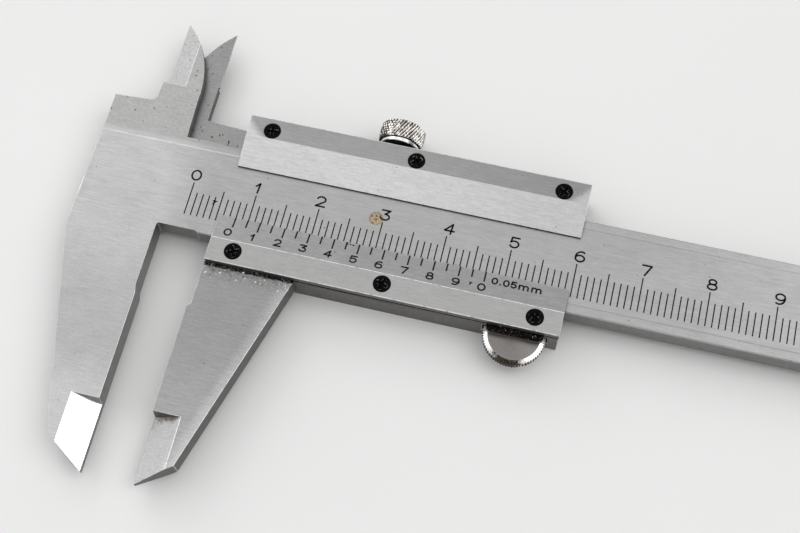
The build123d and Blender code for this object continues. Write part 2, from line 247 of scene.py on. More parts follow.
# ---- node trees
class Graph:
    """Short ways to add and join shader nodes in one tree."""

    def __init__(self, tree, output):
        self.tree = tree
        tree.nodes.clear()
        self.output = self.add(output)

    def add(self, kind, inputs=None, **settings):
        node = self.tree.nodes.new(kind)
        for key, value in settings.items():
            setattr(node, key, value)
        for key, value in (inputs or {}).items():
            if isinstance(value, bpy.types.NodeSocket):
                self.tree.links.new(value, node.inputs[key])
            else:
                node.inputs[key].default_value = value
        return node

    def math(self, kind, a, b=0.0, clamp=False):
        node = self.add("ShaderNodeMath", {0: a, 1: b}, operation=kind, use_clamp=clamp)
        return node.outputs[0]

    def times(self, a, b):
        return self.math("MULTIPLY", a, b)

    def plus(self, value, mask, amount):
        """Value with an amount of a mask added."""
        return self.math("ADD", value, self.times(mask, amount))

    def minus(self, value, mask, amount):
        """Value with an amount of a mask taken away, never below 0."""
        return self.math("SUBTRACT", value, self.times(mask, amount), clamp=True)

    def swing(self, value, pattern, amount):
        """Value moved up and down by a pattern whose middle is 0.5."""
        return self.plus(value, self.math("SUBTRACT", pattern, 0.5), amount)

    def vector(self, kind, a, b):
        node = self.add("ShaderNodeVectorMath", {0: a, 1: b}, operation=kind)
        return node.outputs["Value" if kind in ("DISTANCE", "DOT_PRODUCT", "LENGTH") else "Vector"]

    def scaled(self, a, b):
        return self.vector("MULTIPLY", a, b)

    def axes(self, vector):
        return self.add("ShaderNodeSeparateXYZ", {"Vector": vector}).outputs

    def attribute(self, name):
        return self.add("ShaderNodeAttribute", attribute_name=name).outputs["Fac"]

    def smooth(self, value, low, high):
        """Soft step from 0 at low to 1 at high, where low may be the larger."""
        inputs = {"Value": value, "From Min": low, "From Max": high}
        node = self.add("ShaderNodeMapRange", inputs, interpolation_type="SMOOTHSTEP")
        return node.outputs["Result"]

    def mix(self, factor, a, b):
        inputs = {"Factor": factor, 6: a, 7: b}
        return self.add("ShaderNodeMix", inputs, data_type="RGBA").outputs[2]

    def blend(self, factor, a, b):
        """Number between a and b."""
        inputs = {"Value": factor, "To Min": a, "To Max": b}
        return self.add("ShaderNodeMapRange", inputs).outputs["Result"]


class Material(Graph):
    """Node material with its place on the piece in millimetres."""

    def __init__(self, name):
        self.material = bpy.data.materials.new(name)
        self.material.use_nodes = True
        super().__init__(self.material.node_tree, "ShaderNodeOutputMaterial")
        self.place = self.scaled(self.add("ShaderNodeTexCoord").outputs["Object"], (1 / MM,) * 3)
        self.along = self.axes(self.place)

    def noise(self, scale, detail, rough, where=None):
        inputs = {"Vector": where or self.place, "Scale": scale, "Detail": detail, "Roughness": rough}
        return self.add("ShaderNodeTexNoise", inputs).outputs["Fac"]

    def streaks(self, stretch, detail, rough, turn=0.0):
        """Noise stretched along the axes, after a turn about Z."""
        where = self.place
        if turn:
            inputs = {"Vector": where, "Angle": turn}
            where = self.add("ShaderNodeVectorRotate", inputs, rotation_type="Z_AXIS").outputs[0]
        return self.noise(1.0, detail, rough, self.scaled(where, stretch))

    def finish(self, height, strength, distance, inputs):
        """Principled surface over a bump."""
        bump = self.add("ShaderNodeBump", {"Strength": strength, "Distance": distance * MM, "Height": height})
        shader = self.add("ShaderNodeBsdfPrincipled", {**inputs, "Normal": bump.outputs["Normal"]})
        self.tree.links.new(shader.outputs[0], self.output.inputs["Surface"])
        return self.material


def grey(value, warmth=0.0):
    """Linear colour of a nearly neutral metal; warmth moves it from blue to red."""
    return (value * (1 + warmth), value, value * (1 - warmth), 1.0)


# ---- ground steel
# Stretch of each streaky pattern along X, Y and Z, and the slants of the hairlines and rub marks.
grain_stretch = (0.42, 5.2, 5.2)
broad_stretch = (0.12, 1.1, 1.1)
hair_stretch = (0.12, 9.0, 9.0)
facet_stretch = (1.0, 3.2, 0.2)
rub_stretch = (0.35, 2.6, 1.0)
hair_slants = (0.5, -0.9)
rub_slant = -0.45

# Pits: cells in a millimetre, their largest radius, and the share of the cells without one.
pit_cells = 1.05
pit_radius = 0.17
unpitted = 0.95
unpitted_in_zone = 0.72


class Steel(Material):
    """Ground steel, whose colour, roughness, metal and bump change step by step."""

    def __init__(self, name, tone, rough, warmth):
        super().__init__(name)
        self.tone, self.rough, self.warmth = tone, rough, warmth
        self.fine = self.streaks(grain_stretch, 4.0, 0.65)
        self.cloud = self.noise(0.22, 4.0, 0.6)
        self.speck = self.noise(4.2, 3.0, 0.65)
        self.normal = self.add("ShaderNodeNewGeometry").outputs["Normal"]
        self.upright = self.math("ABSOLUTE", self.axes(self.normal)["Z"])
        self.gloss = 0.5

    def cover(self, mask, share, colour):
        """Lay a colour over a share of the steel where the mask says."""
        self.colour = self.mix(self.times(mask, share), self.colour, colour)

    def facing(self, direction, low, high):
        """Mask of the faces that look one way."""
        return self.smooth(self.vector("DOT_PRODUCT", self.normal, direction), low, high)

    def spot(self, centre, reach, ragged):
        """Mask that is 1 within reach of a point and fades out with a ragged rim."""
        rim = self.blend(self.noise(2.6, 4.0, 0.65), -ragged, ragged)
        away = self.math("ADD", self.vector("DISTANCE", self.place, centre), rim)
        return self.smooth(away, reach * 1.12, reach * 0.82)


def ground(m, grain, facets, painted_shades, lighter_strip):
    """Grain, clouds and specks; faces ground on their own, their tones painted lighter or darker for the way
    they face; painted shade in bands; a lighter strip.
    """
    tint = 1.0
    broad = m.streaks(broad_stretch, 3.0, 0.6)
    for pattern, amount in ((m.fine, 0.55 * grain), (broad, 0.12 * grain), (m.cloud, 0.24), (m.speck, 0.34)):
        tint = m.swing(tint, pattern, amount)
    base = grey(m.tone, m.warmth)
    # Painted light: each facet's tone is set lighter or darker for the way it faces the light; its marks and
    # roughness are its own grinding.
    for direction, painted_facet_tone, facet_rough in facets:
        mask = m.facing(tuple(Vector(direction).normalized()), 0.985, 0.995)
        marks = m.blend(m.streaks(facet_stretch, 4.0, 0.7), 0.80, 1.20)
        base = m.mix(mask, base, m.scaled(grey(painted_facet_tone)[:3], marks))
        m.rough = m.blend(mask, m.rough, facet_rough)
    # Painted shade: the colour darkens in bands along an axis, where less light falls.
    for axis, start, full, fading, end, share in painted_shades:
        mask = m.times(m.smooth(m.along[axis], start, full), m.smooth(m.along[axis], end, fading))
        tint = m.times(tint, m.blend(mask, 1.0, share))
    # A lighter strip along the left of a line.
    if lighter_strip:
        (x0, y0), (x1, y1) = lighter_strip
        line = m.plus(x0, m.math("SUBTRACT", m.along["Y"], y0), (x1 - x0) / (y1 - y0))
        inside = m.math("SUBTRACT", line, m.along["X"])
        strip = m.times(m.smooth(inside, 2.2, 0.2), m.blend(m.speck, 0.10, 0.55))
        tint = m.times(tint, m.math("ADD", strip, 1.0))
    m.colour = m.scaled(base if facets else base[:3], tint)


def scratched(m):
    """Hairline scratches in two directions."""
    hairs = [m.smooth(m.streaks(hair_stretch, 1.0, 0.4, slant), 0.73, 0.80) for slant in hair_slants]
    m.cover(m.math("MAXIMUM", *hairs), 0.30, grey(min(1.0, m.tone * 1.35), m.warmth))


def pitted(m, zone):
    """Small ragged dark dots in some of the cells of a random pattern. A zone, which has a lowest Y and
    a right end, has more of them and is mottled too."""
    cells = m.add("ShaderNodeTexVoronoi", {"Vector": m.place, "Scale": pit_cells}, voronoi_dimensions="2D")
    rare = m.add("ShaderNodeSeparateColor", {"Color": cells.outputs["Color"]}).outputs["Red"]
    least = unpitted
    if zone:
        low, right = zone
        inside = m.times(m.smooth(m.along["Y"], low, low + 0.8), m.smooth(m.along["X"], right + 1, right))
        least = m.blend(inside, unpitted, unpitted_in_zone)
        mottle = m.blend(m.smooth(m.noise(2.4, 4.0, 0.7), 0.66, 0.34), 0.45, 1.0)
        m.cover(m.times(mottle, inside), 0.5, grey(m.tone * 0.50, 0.02))
    size = m.times(m.math("POWER", m.smooth(rare, least, 1.02), 1.6), pit_radius)
    away = m.swing(cells.outputs["Distance"], m.speck, 0.10)
    m.pits = m.smooth(m.math("SUBTRACT", away, size), 0.0, -0.03)
    m.cover(m.pits, 0.85, grey(0.045, 0.12))


def walled(m):
    """Side walls: not ground, duller, and painted darker in cloudy patches as painted shade for the dark
    surroundings they would reflect.
    """
    m.wall = m.smooth(m.upright, 0.40, 0.12)
    painted_wall_shade = m.blend(m.noise(0.9, 4.0, 0.65), 0.30, 0.62)
    m.colour = m.mix(m.wall, m.colour, m.scaled(grey(m.tone, 0.03)[:3], painted_wall_shade))


def soiled(m):
    """Painted shade where faces meet, found by nearby occlusion, with dirt speckled through it."""
    nearby = m.add("ShaderNodeAmbientOcclusion", {"Distance": 0.9 * MM}, samples=6).outputs["AO"]
    m.soil = m.math("MULTIPLY", m.smooth(nearby, 0.80, 0.30), m.blend(m.speck, 0.45, 1.45), clamp=True)
    m.cover(m.soil, 0.85, grey(0.035, 0.16))


def worn(m, shine, rail):
    """Brighter steel on worn edges. A rail is a highest Y for diagonal rub marks, and two X between which
    the wear on the scale bed's edges fades and its sides are darkened as painted shade."""
    wear = m.times(m.attribute("worn"), m.smooth(m.noise(1.3, 3.0, 0.7), 0.30, 0.52))
    if rail:
        high, start, full = rail
        fading = m.smooth(m.along["X"], start, full)
        wear = m.times(wear, m.blend(fading, 1.0, 0.1))
        rubbed = m.times(m.smooth(m.along["Y"], high, high - 0.3), m.smooth(m.upright, 0.9, 0.98))
        rubbed = m.times(rubbed, m.smooth(m.along["X"], 4.0, 8.0))
        marks = m.blend(m.smooth(m.streaks(rub_stretch, 3.0, 0.6, rub_slant), 0.36, 0.64), 0.74, 1.34)
        m.colour = m.scaled(m.colour, m.blend(rubbed, 1.0, marks))
        # Painted shade: the sides of the scale's bed darken toward the right.
        faded = m.times(m.facing(bed_side, 0.97, 0.99), fading)
        m.colour = m.scaled(m.colour, m.blend(faded, 1.0, 0.55))
    m.cover(wear, shine, grey(0.85, m.warmth))
    m.rough = m.swing(m.swing(m.rough, m.cloud, 0.14), m.fine, 0.20)
    m.rough = m.math("SUBTRACT", m.plus(m.rough, m.wall, 0.10), m.times(wear, 0.10))
    m.metal = m.minus(m.math("SUBTRACT", 1.0, m.times(m.soil, 0.7)), m.pits, 0.5)
    m.bump = m.plus(m.times(m.fine, 0.7), m.speck, 0.3)


def grimy(m, x0, x1, y0, y1, z0):
    """Painted shade with some black crust, in a ragged box in X and Y, above a height; its light specks are
    painted glints.
    """
    ragged = m.blend(m.noise(1.5, 4.0, 0.7), -0.45, 0.45)
    x = m.math("ADD", m.along["X"], ragged)
    y = m.math("ADD", m.along["Y"], ragged)
    mask = m.smooth(x, x0, x0 + 0.15)
    for value, low, high in ((x, x1, x1 - 0.15), (y, y0, y0 + 0.15), (y, y1, y1 - 0.15),
                             (m.along["Z"], z0, z0 + 0.1)):
        mask = m.times(mask, m.smooth(value, low, high))
    crust = m.noise(4.4, 3.0, 0.7)
    dark = m.mix(m.smooth(crust, 0.58, 0.66), (0.003, 0.002, 0.002, 1), (0.12, 0.09, 0.07, 1))
    dark = m.mix(m.smooth(crust, 0.65, 0.68), dark, (0.75, 0.70, 0.66, 1))
    m.colour = m.mix(mask, m.colour, dark)
    m.gloss = m.blend(mask, m.gloss, 0.04)
    m.rough = m.plus(m.rough, mask, 0.25)
    m.metal = m.minus(m.metal, mask, 1.0)
    m.bump = m.plus(m.bump, m.times(mask, crust), 16.0)


def stained(m, centre, reach):
    """Brown stain on a knife, below the front face."""
    mask = m.times(m.spot(centre, reach, reach * 0.9), m.smooth(m.along["Z"], front_z - 0.05, front_z - 0.3))
    mask = m.times(mask, m.smooth(m.noise(2.4, 4.0, 0.7), 0.34, 0.60))
    m.cover(mask, 0.7, (0.17, 0.11, 0.075, 1))
    m.rough = m.plus(m.rough, mask, 0.15)


def rusty(m, centre, reach):
    """Rust spot with brown grains and a darker rim."""
    patch = m.mix(m.smooth(m.speck, 0.40, 0.62), (0.32, 0.24, 0.14, 1), (0.47, 0.37, 0.24, 1))
    patch = m.mix(m.smooth(m.noise(2.6, 2.0, 0.5), 0.57, 0.61), patch, (0.10, 0.055, 0.022, 1))
    rim = m.mix(0.35, patch, (0.10, 0.06, 0.03, 1))
    patch = m.mix(m.spot(centre, reach * 0.86, reach * 0.10), rim, patch)
    mask = m.spot(centre, reach, reach * 0.10)
    m.cover(mask, 0.94, patch)
    m.rough = m.plus(m.rough, mask, 0.35)
    m.metal = m.minus(m.metal, mask, 0.85)


def burred(m, low, high, right):
    """Rough strip with shadows and glints, left along the root of a jaw."""
    fade = m.math("ADD", m.along["Y"], m.blend(m.noise(0.7, 3.0, 0.6), -1.0, 1.0))
    mask = m.times(m.smooth(fade, low, high), m.smooth(m.along["X"], right + 0.5, right))
    mask = m.times(mask, m.smooth(m.along["Z"], 0.9, 1.5))
    grit = m.noise(2.6, 4.0, 0.72)
    m.cover(m.times(mask, m.smooth(grit, 0.54, 0.38)), 0.75, grey(0.09, 0.06))
    m.colour = m.mix(m.times(mask, m.smooth(m.noise(2.1, 2.0, 0.5), 0.66, 0.70)), m.colour, grey(1.0))
    m.bump = m.plus(m.bump, m.times(mask, grit), 12.0)
    m.rough = m.plus(m.rough, mask, 0.08)


def steel(name, tone, rough, grain=1.0, warmth=0.0, shine=0.6, pit_zone=None, painted_shades=(), lighter_strip=None,
          facets=(), shade_and_crust_zones=(), stains=(), rust=(), burrs=(), rail=None):
    """Ground steel. Each facet is a direction, a tone painted lighter or darker for the way it faces, and a
    roughness;
    a painted shade fades in and out at four places along an axis, down to a share; the lighter strip lies
    along the left of a line."""
    m = Steel(name, tone, rough, warmth)
    ground(m, grain, facets, painted_shades, lighter_strip)
    scratched(m)
    pitted(m, pit_zone)
    walled(m)
    soiled(m)
    worn(m, shine, rail)
    for change, zones in ((grimy, shade_and_crust_zones), (stained, stains), (rusty, rust), (burred, burrs)):
        for zone in zones:
            change(m, *zone)
    return m.finish(m.math("SUBTRACT", m.bump, m.times(m.pits, 2.0)), 0.35, 0.004, {
        "Base Color": m.colour, "Metallic": m.metal, "Roughness": m.rough, "Specular IOR Level": m.gloss,
        "Anisotropic": 0.45, "Anisotropic Rotation": 0.25,
        "Tangent": m.add("ShaderNodeCombineXYZ", {0: 1.0, 1: 0.013, 2: 0.021}).outputs[0],
    })


# ---- other materials
def black_oxide():
    """Blackened screw steel with bare metal showing in a few places."""
    m = Material("black_oxide")
    cloud = m.noise(1.6, 4.0, 0.6)
    bare = m.times(m.attribute("worn"), m.smooth(m.noise(1.7, 3.0, 0.7), 0.47, 0.60))
    colour = m.mix(cloud, (0.0012, 0.0012, 0.0012, 1), (0.0032, 0.0030, 0.0028, 1))
    return m.finish(m.noise(9.0, 2.0, 0.6), 0.4, 0.01, {
        "Base Color": m.mix(m.times(bare, 0.8), colour, grey(0.30)), "Metallic": m.blend(bare, 0.0, 1.0),
        "Roughness": m.blend(cloud, 0.30, 0.50), "Specular IOR Level": 0.04,
    })


def knurled(name, tone, rough, warmth, unshaded_x, shaded_x):
    """Bright plated knurling: polished peaks, and painted shade in the brown of dirt deep in the grooves and
    toward one side.
    """
    m = Material(name)
    cloud = m.noise(0.9, 4.0, 0.65)
    # Painted shade: darker with groove depth and toward one side.
    depth = m.swing(m.attribute("groove"), cloud, 1.4)
    depth = m.plus(depth, m.smooth(m.along["X"], unshaded_x, shaded_x), 0.40)
    soil = m.smooth(depth, 0.50, 0.66)
    peak = m.mix(m.smooth(cloud, 0.55, 0.45), grey(tone * 0.62, warmth * 2), grey(tone, warmth))
    return m.finish(m.noise(7.0, 3.0, 0.6), 0.3, 0.01, {
        "Base Color": m.mix(m.times(soil, 0.96), peak, (0.018, 0.011, 0.007, 1)),
        "Metallic": m.blend(soil, 1.0, 0.2),
        "Roughness": m.plus(m.blend(cloud, rough - 0.04, rough + 0.08), soil, 0.3),
    })


def plain_chrome():
    """Smooth plated collar, faintly clouded."""
    m = Material("plain_chrome")
    cloud = m.noise(1.2, 3.0, 0.6)
    return m.finish(cloud, 0.15, 0.01, {
        "Base Color": m.mix(cloud, grey(0.86), grey(0.98)), "Metallic": 1.0,
        "Roughness": m.blend(cloud, 0.10, 0.22),
    })


def wheel_shoulder():
    """Sloping shoulder of the thumb wheel, rubbed bright by fingers, with patches of dirt, and painted shade
    in dark brown over a stretch at the front.
    """
    m = Material("wheel_shoulder")
    grit = m.noise(6.0, 3.0, 0.7)
    aside = m.math("ABSOLUTE", m.math("SUBTRACT", m.along["X"], wheel_x - 0.3))
    aside = m.math("ADD", aside, m.blend(grit, -0.5, 0.5))
    aside = m.math("ADD", aside, m.blend(m.noise(1.3, 4.0, 0.7), -1.6, 1.6))
    # Painted shade: a dark stretch at the bottom front of the shoulder.
    patch = m.times(m.smooth(aside, 2.5, 1.5), m.smooth(m.along["Y"], wheel_y, wheel_y - 1))
    dirt = m.mix(m.smooth(grit, 0.46, 0.62), (0.012, 0.009, 0.007, 1), (0.11, 0.085, 0.07, 1))
    soil = m.times(m.smooth(m.noise(0.55, 4.0, 0.6), 0.60, 0.70), m.blend(grit, 0.4, 0.7))
    soil = m.math("MAXIMUM", soil, patch)
    return m.finish(grit, 0.3, 0.01, {
        "Base Color": m.mix(soil, grey(1.0), dirt), "Metallic": m.blend(soil, 1.0, 0.0),
        "Specular IOR Level": m.blend(soil, 0.5, 0.05), "Roughness": m.blend(soil, 0.26, 0.55),
    })


def oily_black():
    """Underside of the knob and its stem: painted shade, nearly black with faint brown clouds."""
    m = Material("oily_black")
    cloud = m.noise(2.2, 4.0, 0.65)
    return m.finish(cloud, 0.4, 0.02, {
        "Base Color": m.mix(m.smooth(cloud, 0.45, 0.75), (0.006, 0.005, 0.004, 1), (0.06, 0.05, 0.04, 1)),
        "Roughness": m.blend(cloud, 0.35, 0.6), "Specular IOR Level": 0.3,
    })


def turned_steel():
    """Face of the thumb wheel: rings left by the lathe tool round the wheel's own axis."""
    m = Material("turned_steel")
    flat = m.scaled(m.vector("SUBTRACT", m.place, (wheel_x, wheel_y, 0.0)), (1.0, 1.0, 0.0))
    radius = m.vector("LENGTH", flat, (0.0, 0.0, 0.0))
    outward = m.add("ShaderNodeCombineXYZ", {0: m.times(radius, 6.0)}).outputs[0]
    rings = m.noise(1.0, 3.0, 0.65, outward)
    cloud = m.noise(0.7, 4.0, 0.65)
    colour = m.mix(rings, grey(0.165, 0.05), grey(0.265, 0.045))
    colour = m.mix(m.times(m.smooth(cloud, 0.42, 0.66), 0.4), colour, grey(0.20, 0.08))
    speck = m.smooth(m.noise(4.5, 3.0, 0.7), 0.62, 0.72)
    around = m.vector("CROSS_PRODUCT", flat, (0.0, 0.0, 1.0))
    return m.finish(rings, 0.35, 0.006, {
        "Base Color": m.mix(m.times(speck, 0.6), colour, grey(0.05, 0.1)), "Metallic": 1.0,
        "Roughness": m.blend(cloud, 0.36, 0.5), "Anisotropic": 0.6, "Anisotropic Rotation": 0.25,
        "Tangent": m.vector("ADD", around, (0.003, 0.002, 0.001)),
    })


def scale_fill(name, colour, faded):
    """Dark filling of an engraved line, thinner in places so that steel greys it."""
    m = Material(name)
    wear = m.smooth(m.noise(1.7, 4.0, 0.7), 0.52, 0.76)
    grit = m.noise(12.0, 2.0, 0.6)
    return m.finish(grit, 0.3, 0.01, {
        "Base Color": m.mix(m.times(wear, 0.5), (*colour, 1.0), (*faded, 1.0)),
        "Roughness": m.blend(grit, 0.5, 0.8), "Specular IOR Level": 0.15,
    })


def brass():
    """Dull turned brass of the lock pad."""
    m = Material("dull_brass")
    rings = m.streaks((0.6, 12.0, 0.6), 2.0, 0.5)
    return m.finish(rings, 0.3, 0.01, {
        "Base Color": m.mix(m.noise(1.4, 4.0, 0.6), (0.36, 0.24, 0.09, 1), (0.60, 0.43, 0.17, 1)),
        "Metallic": 1.0, "Roughness": m.blend(rings, 0.3, 0.48),
    })


def studio_floor():
    """Pale matt board under the part, with a slight tooth."""
    m = Material("studio_floor")
    return m.finish(m.noise(3.0, 3.0, 0.6), 0.25, 0.02, {
        "Base Color": m.mix(m.noise(0.02, 3.0, 0.5), (0.78, 0.78, 0.775, 1), (0.82, 0.82, 0.815, 1)),
        "Roughness": 0.8, "Specular IOR Level": 0.2,
    })


# ---- mesh helpers
class Shape:
    """Points in millimetres and faces, collected before they become one object."""

    def __init__(self):
        self.points = []
        self.faces = []

    def add(self, points, faces):
        start = len(self.points)
        self.points += [tuple(p) for p in points]
        self.faces += [tuple(start + i for i in face) for face in faces]


def finish_mesh(mesh, material, creased=False):
    """Smooth shading that keeps flat faces flat; a creased mesh already has its sharp edges marked."""
    mesh.materials.clear()
    mesh.materials.append(material)
    mesh.polygons.foreach_set("use_smooth", [True] * len(mesh.polygons))
    if not creased:
        mesh.set_sharp_from_angle(angle=smooth_angle)


def show(name, mesh, material, body, stands_for=(), creased=False):
    """Object from a finished mesh, riding on its body."""
    finish_mesh(mesh, material, creased)
    piece = bpy.data.objects.new(name, mesh)
    scene.collection.objects.link(piece)
    weighted = piece.modifiers.new("flat_faces", "WEIGHTED_NORMAL")
    weighted.keep_sharp = True
    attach(piece, body)
    if stands_for:
        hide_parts(*stands_for)
    return piece


def mesh_from(bm, name):
    """Mesh from edited geometry, which is freed."""
    mesh = bpy.data.meshes.new(name)
    bm.to_mesh(mesh)
    bm.free()
    return mesh


def show_shape(name, shape, material, body, stands_for=()):
    """Object from a collected shape."""
    bm = bmesh.new()
    corners = [bm.verts.new(Vector(p) * MM) for p in shape.points]
    for face in shape.faces:
        bm.faces.new([corners[i] for i in face])
    bmesh.ops.recalc_face_normals(bm, faces=bm.faces)
    return show(name, mesh_from(bm, name), material, body, stands_for)


def crease(bm, worn):
    """Mark the edges that stay crisp: sharp ones, and slight ones between two broad flat faces."""
    for edge in bm.edges:
        broad = min(face.calc_area() for face in edge.link_faces) > broad_face
        least = crease_angle if broad else edge_angle
        if any(face[worn] for face in edge.link_faces):
            least = smooth_angle
        edge.smooth = edge.calc_face_angle(0.0) <= least


def round_edges(bm, width, least_angle, worn):
    """Round the long outer edges a little, and store how worn each strip is."""
    edges = [
        e for e in bm.edges
        if e.is_convex and e.calc_face_angle() > least_angle and e.calc_length() > edge_shortest
    ]
    if not edges:
        return
    rounding = bmesh.ops.bevel(bm, geom=edges, offset=width, segments=edge_segments, profile=0.5,
                               affect="EDGES", clamp_overlap=False)
    for face in rounding["faces"]:
        crisp = abs(face.normal.y) < 0.05 and face.normal.z > 0.9
        face[worn] = blade_wear if crisp and face.calc_center_median().y > blade_foot else 1.0


def refined(node, material, slot, width=small_round, least_angle=edge_angle):
    """CAD node with its flat faces merged and its long machined edges slightly rounded."""
    body = frame["nodes"][node]["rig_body"]
    name = f"{node}_finished"
    bm = bmesh.new()
    bm.from_mesh(frame["nodes"][node].data)
    bmesh.ops.scale(bm, vec=(1 / MM,) * 3, verts=bm.verts)
    bmesh.ops.remove_doubles(bm, verts=bm.verts, dist=weld_distance)
    bmesh.ops.dissolve_limit(bm, angle_limit=level_angle, verts=bm.verts, edges=bm.edges)
    worn = bm.faces.layers.float.new("worn")
    round_edges(bm, width, least_angle, worn)
    bmesh.ops.recalc_face_normals(bm, faces=bm.faces)
    crease(bm, worn)
    bmesh.ops.scale(bm, vec=(MM,) * 3, verts=bm.verts)
    show(name, mesh_from(bm, name), material, body, (node,), creased=True)


def groove_depth(mesh, depth_at):
    """Store how deep each point lies in the knurling, from 0 on the peaks to 1 in the grooves."""
    layer = mesh.attributes.new("groove", "FLOAT", "POINT")
    layer.data.foreach_set("value", [depth_at(*(vertex.co / MM)) for vertex in mesh.vertices])


def turned(shape, rings, steps, place, hollow=False):
    """Skin over rings of (height, radius), where a radius may depend on the angle and height.
    A hollow one closes on its first ring; any other is capped at both ends."""
    points = []
    for height, radius in rings:
        for i in range(steps):
            angle = 2 * pi * i / steps
            size = radius(angle, height) if callable(radius) else radius
            points.append(place(size * cos(angle), size * sin(angle), height))
    count = len(rings)
    faces = []
    for r in range(count if hollow else count - 1):
        for i in range(steps):
            j = (i + 1) % steps
            low, high = r * steps, ((r + 1) % count) * steps
            faces.append((low + i, low + j, high + j, high + i))
    if not hollow:
        faces.append(tuple(range(steps)))
        faces.append(tuple((count - 1) * steps + i for i in range(steps)))
    shape.add(points, faces)


# ---- marks on the scales
def on_beam(x, y, height):
    """Point over the scale bed of the beam."""
    return x, y, scale_bed + height


def on_vernier(x, y, height):
    """Point over the bevel of the vernier plate."""
    return x, y, bevel_toe_z + (bevel_toe_y - y) * bevel_rise + height


def on_arm(x, y, height):
    """Point over the arm of the moving inside jaw."""
    return x, y, arm_face + height


def mark(shape, outline, tops, rims, place):
    """Filled mark: the faces of its top, the same below, and a wall along each rim of its outline."""
    count = len(outline)
    points = [place(x, y, h) for h in (-mark_depth, mark_height) for x, y in outline]
    faces = list(tops) + [tuple(count + i for i in face) for face in tops]
    for rim in rims:
        for a, b in zip(rim, rim[1:] + rim[:1]):
            faces.append((a, b, count + b, count + a))
    shape.add(points, faces)


def line_mark(shape, x, y0, y1, width, place):
    """Straight scale line from y0 to y1."""
    half = width / 2
    corners = [(x - half, y0), (x + half, y0), (x + half, y1), (x - half, y1)]
    mark(shape, corners, [(0, 1, 2, 3)], [[0, 1, 2, 3]], place)


def arc(x, y, across, up, start, end, steps=12):
    """Points of an ellipse's arc, its angles in degrees."""
    angles = [radians(start + (end - start) * i / steps) for i in range(steps + 1)]
    return [(x + across * cos(a), y + up * sin(a)) for a in angles]


def half_turned(strokes):
    """Strokes turned by half a turn about the middle of their box."""
    return [[(-x, 1 - y) for x, y in stroke] for stroke in strokes]


# Strokes of each character in a box from 0 to 1 in height, centred on 0. A closed stroke repeats its start.
SIX = [arc(0.10, 0.44, 0.53, 0.56, 62, 180), arc(0, 0.31, 0.43, 0.31, 0, 360, 20)]
STROKES = {
    "0": [arc(0, 0.5, 0.45, 0.5, 0, 360, 24)],
    "1": [[(0.02, 0), (0.10, 1)], [(0.10, 1), (-0.24, 0.68)]],
    "2": [arc(-0.01, 0.70, 0.41, 0.30, 165, -38) + [(-0.44, 0)], [(-0.44, 0), (0.44, 0)]],
    "3": [[(-0.40, 1), (0.40, 1)], [(0.40, 1), (-0.04, 0.60)], arc(-0.02, 0.31, 0.43, 0.30, 96, -160)],
    "4": [[(0.16, 0), (0.24, 1)], [(0.24, 1), (-0.46, 0.30)], [(-0.46, 0.30), (0.46, 0.30)]],
    "5": [[(0.40, 1), (-0.30, 1)], [(-0.30, 1), (-0.37, 0.52)], arc(-0.02, 0.33, 0.43, 0.33, 146, -152)],
    "6": SIX,
    "7": [[(-0.43, 1), (0.43, 1)], [(0.43, 1), (-0.12, 0)]],
    "8": [arc(0, 0.76, 0.34, 0.24, 0, 360, 18), arc(0, 0.27, 0.43, 0.27, 0, 360, 20)],
    "9": half_turned(SIX),
    ".": [[(0, 0.04), (0, 0.08)]],
    "m": [[(-0.78, 0), (-0.78, 0.72)],
          arc(-0.39, 0.44, 0.39, 0.28, 180, 0, 10) + [(0, 0)],
          arc(0.39, 0.44, 0.39, 0.28, 180, 0, 10) + [(0.78, 0)]],
}
ADVANCE = {".": 0.56, "m": 1.72}


def advances(word, width):
    """Width that each character of a word takes up."""
    return [ADVANCE.get(character, 1.0) * width for character in word]


def round_cap(centre, direction):
    """Four points round the end of a stroke, from its left side to its right."""
    (x, y), (dx, dy) = centre, direction
    turns = [pi / 2 - pi * k / 5 for k in (1, 2, 3, 4)]
    return [(x + dx * cos(a) - dy * sin(a), y + dy * cos(a) + dx * sin(a)) for a in turns]


def stroke_mark(shape, path, width, place):
    """Strip of even width along a path: a ring if the path is closed, else with round ends."""
    closed = math.dist(path[0], path[-1]) < 1e-6
    path = path[:-1] if closed else path
    count = len(path)
    left, right, directions = [], [], []
    for i, (x, y) in enumerate(path):
        before = path[i - 1] if closed or i > 0 else path[i]
        after = path[(i + 1) % count] if closed or i < count - 1 else path[i]
        dx, dy = after[0] - before[0], after[1] - before[1]
        size = hypot(dx, dy)
        dx, dy = dx / size * width / 2, dy / size * width / 2
        directions.append((dx, dy))
        left.append((x - dy, y + dx))
        right.append((x + dy, y - dx))
    spans = range(count if closed else count - 1)
    tops = [(i, (i + 1) % count, count + (i + 1) % count, count + i) for i in spans]
    lefts = list(range(count))
    rights = [count + i for i in reversed(range(count))]
    if closed:
        mark(shape, left + right, tops, [lefts, rights], place)
        return
    first_x, first_y = directions[0]
    end_cap = round_cap(path[-1], directions[-1])
    start_cap = round_cap(path[0], (-first_x, -first_y))
    ends = [2 * count + i for i in range(4)]
    starts = [2 * count + 4 + i for i in range(4)]
    tops.append((count - 1, *ends, 2 * count - 1))
    tops.append((count, *starts, 0))
    mark(shape, left + right + end_cap + start_cap, tops, [lefts + ends + rights + starts], place)


def word_mark(shape, word, x, y, width, height, stroke, place):
    """Characters side by side, centred on x, standing on y."""
    steps = advances(word, width)
    at = x - sum(steps) / 2
    for character, step in zip(word, steps):
        centre = at + step / 2
        for path in STROKES[character]:
            spots = [(centre + u * (width - stroke), y + stroke / 2 + v * (height - stroke)) for u, v in path]
            stroke_mark(shape, spots, stroke, place)
        at += step


